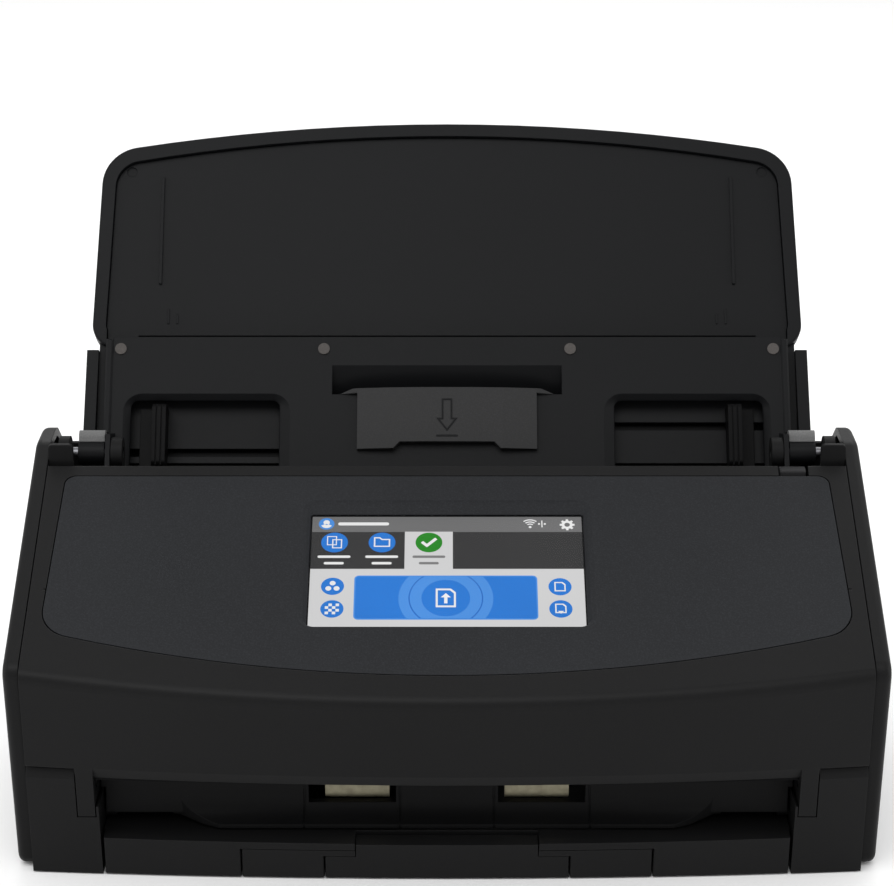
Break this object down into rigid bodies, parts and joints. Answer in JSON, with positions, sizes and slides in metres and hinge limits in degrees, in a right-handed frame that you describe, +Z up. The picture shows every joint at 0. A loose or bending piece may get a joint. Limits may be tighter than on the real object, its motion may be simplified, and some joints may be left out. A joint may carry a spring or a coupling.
{
  "type": "sheet-fed document scanner",
  "caption": "Sheet-fed desktop document scanner with a fold-out paper chute, receipt guide, tilting front unit with touch display, exit slot and telescoping stacker.",
  "frame": {"origin": "centre of the object's footprint box on the table, at the underside of the feet", "axes": "+X to the right seen from the front, +Y to the back, +Z up"},
  "size_m": [0.292, 0.203, 0.2199],
  "materials": {
    "base_plastic": "fine moulded texture",
    "cover_plastic": "fine satin texture",
    "panel_plastic": "speckled matte texture",
    "exit_plastic": "satin",
    "guide_plastic": "satin",
    "stacker_plastic": "satin",
    "chute_plastic": "satin",
    "receipt_plastic": "satin",
    "receipt_cover_plastic": "satin",
    "pad_plastic": "satin",
    "knuckle_plastic": "satin",
    "lever_plastic": "satin",
    "pulley_plastic": "natural acetal",
    "foot_rubber": "matt",
    "belt_rubber": "matt",
    "roller_rubber": "ground",
    "exit_roller_rubber": "ground beige",
    "display_glass": "polished",
    "display_panel": "lit display",
    "scan_glass": "polished",
    "circuit_board": "solder mask",
    "connector": "gloss",
    "connector_metal": "plated",
    "motor_metal": "zinc plate",
    "sheet_steel": "zinc plate",
    "steel": "ground"
  },
  "bodies": {
    "base": {"base_tray": "base_plastic", "rear_cover": "cover_plastic", "rubber_feet": "foot_rubber", "exit_guide": "exit_plastic", "lower_paper_guide": "guide_plastic", "rear_scan_unit": "guide_plastic", "rear_scan_glass": "scan_glass", "main_board": "circuit_board", "power_inlet": "connector", "usb_port": "connector_metal", "housing_screws": "steel", "cover_hinge_pins": "steel", "feed_motor": "motor_metal", "drive_belt": "belt_rubber", "side_cover_left": "cover_plastic", "side_cover_right": "cover_plastic", "corner_block_left": "cover_plastic", "corner_block_right": "cover_plastic", "bearing_wall_left": "sheet_steel", "bearing_wall_right": "sheet_steel", "hinge_lugs": "base_plastic"},
    "motor_drive": {"motor_pulley": "steel"},
    "pick_drive": {"pick_shaft": "steel", "pick_rollers": "roller_rubber", "pick_pulley": "pulley_plastic"},
    "feed_drive": {"feed_shaft": "steel", "feed_rollers": "roller_rubber", "feed_pulley": "pulley_plastic"},
    "exit_drive": {"exit_shaft": "steel", "exit_rollers": "exit_roller_rubber", "exit_pulley": "pulley_plastic"},
    "stacker_first": {"stacker_tray": "stacker_plastic"},
    "stacker_second": {"stacker_extension_1": "stacker_plastic"},
    "stacker_third": {"stacker_extension_2": "stacker_plastic"},
    "front_unit": {"front_frame": "cover_plastic", "control_panel": "panel_plastic", "touch_glass": "display_glass", "lcd_module": "display_panel", "panel_board": "circuit_board", "front_paper_guide": "guide_plastic", "front_scan_unit": "guide_plastic", "front_scan_glass": "scan_glass", "front_roller_shafts": "steel", "shaft_clips": "pulley_plastic", "lever_pin": "steel"},
    "brake_roller": {"brake_rollers": "roller_rubber"},
    "feed_idler": {"feed_idlers": "pulley_plastic"},
    "exit_idler": {"exit_idlers": "pulley_plastic"},
    "release_lever": {"cover_release_lever": "lever_plastic"},
    "chute": {"chute_cover": "chute_plastic", "chute_panel": "chute_plastic", "chute_hinge_pins": "steel", "hinge_knuckles": "knuckle_plastic"},
    "extension": {"chute_extension": "chute_plastic"},
    "guide_right": {"side_guide_right": "guide_plastic"},
    "guide_left": {"side_guide_left": "guide_plastic"},
    "pinion": {"guide_pinion": "pulley_plastic"},
    "receipt_guide": {"receipt_guide_frame": "receipt_plastic", "receipt_slot_cover": "receipt_cover_plastic", "receipt_guide_pads": "pad_plastic"}
  },
  "joints": [
    {"name": "cover_hinge", "type": "hinge", "parent": "base", "child": "front_unit", "pos_m": [0, -0.08043, 0.034], "axis": [1, 0, 0], "range_deg": [0, 65]},
    {"name": "chute_hinge", "type": "hinge", "parent": "base", "child": "chute", "pos_m": [0, 0.00657, 0.1203], "axis": [-1, 0, 0], "range_deg": [-150, 0]},
    {"name": "chute_extension_slide", "type": "slide", "parent": "chute", "child": "extension", "axis": [0, 0.5736, 0.8192], "range_m": [0, 0.055]},
    {"name": "guide_right_slide", "type": "slide", "parent": "chute", "child": "guide_right", "axis": [-1, 0, 0], "range_m": [-0.0075, 0.04]},
    {"name": "guide_left_slide", "type": "slide", "parent": "chute", "child": "guide_left", "axis": [1, 0, 0], "range_m": [-0.0075, 0.04]},
    {"name": "guide_pinion_spin", "type": "hinge", "parent": "chute", "child": "pinion", "pos_m": [0, 0.0289, 0.11627], "axis": [0, -0.8192, 0.5736], "range_deg": [-114, 604]},
    {"name": "receipt_guide_lift", "type": "slide", "parent": "chute", "child": "receipt_guide", "axis": [0, 0.5736, 0.8192], "range_m": [0, 0.03]},
    {"name": "release_lever_tilt", "type": "hinge", "parent": "front_unit", "child": "release_lever", "pos_m": [0, -0.00593, 0.103], "axis": [1, 0, 0], "range_deg": [0, 8], "stiffness_Nm_per_rad": 0.02},
    {"name": "stacker_slide_1", "type": "slide", "parent": "base", "child": "stacker_first", "axis": [0, -1, 0], "range_m": [0, 0.082]},
    {"name": "stacker_slide_2", "type": "slide", "parent": "stacker_first", "child": "stacker_second", "axis": [0, -1, 0], "range_m": [0, 0.078]},
    {"name": "stacker_slide_3", "type": "slide", "parent": "stacker_second", "child": "stacker_third", "axis": [0, -1, 0], "range_m": [0, 0.074]},
    {"name": "feed_spin", "type": "hinge", "parent": "base", "child": "feed_drive", "pos_m": [0, 0.00051, 0.07276], "axis": [1, 0, 0], "continuous": true},
    {"name": "pick_spin", "type": "hinge", "parent": "base", "child": "pick_drive", "pos_m": [0, 0.01353, 0.08439], "axis": [1, 0, 0], "continuous": true},
    {"name": "exit_spin", "type": "hinge", "parent": "base", "child": "exit_drive", "pos_m": [0, -0.06293, 0.0272], "axis": [1, 0, 0], "continuous": true},
    {"name": "motor_spin", "type": "hinge", "parent": "base", "child": "motor_drive", "pos_m": [0, 0.02657, 0.04], "axis": [1, 0, 0], "continuous": true},
    {"name": "brake_spin", "type": "hinge", "parent": "front_unit", "child": "brake_roller", "pos_m": [0, -0.00072, 0.09437], "axis": [1, 0, 0], "continuous": true},
    {"name": "feed_idler_spin", "type": "hinge", "parent": "front_unit", "child": "feed_idler", "pos_m": [0, -0.00883, 0.0793], "axis": [1, 0, 0], "continuous": true},
    {"name": "exit_idler_spin", "type": "hinge", "parent": "front_unit", "child": "exit_idler", "pos_m": [0, -0.06293, 0.0391], "axis": [1, 0, 0], "continuous": true}
  ],
  "couplings": [
    {"joint": "guide_left_slide", "follows": "guide_right_slide", "ratio": 1},
    {"joint": "guide_pinion_spin", "follows": "guide_right_slide", "rad_per_m": 263.16},
    {"joint": "pick_spin", "follows": "feed_spin", "ratio": 1},
    {"joint": "exit_spin", "follows": "feed_spin", "ratio": 1},
    {"joint": "motor_spin", "follows": "feed_spin", "ratio": 1}
  ]
}
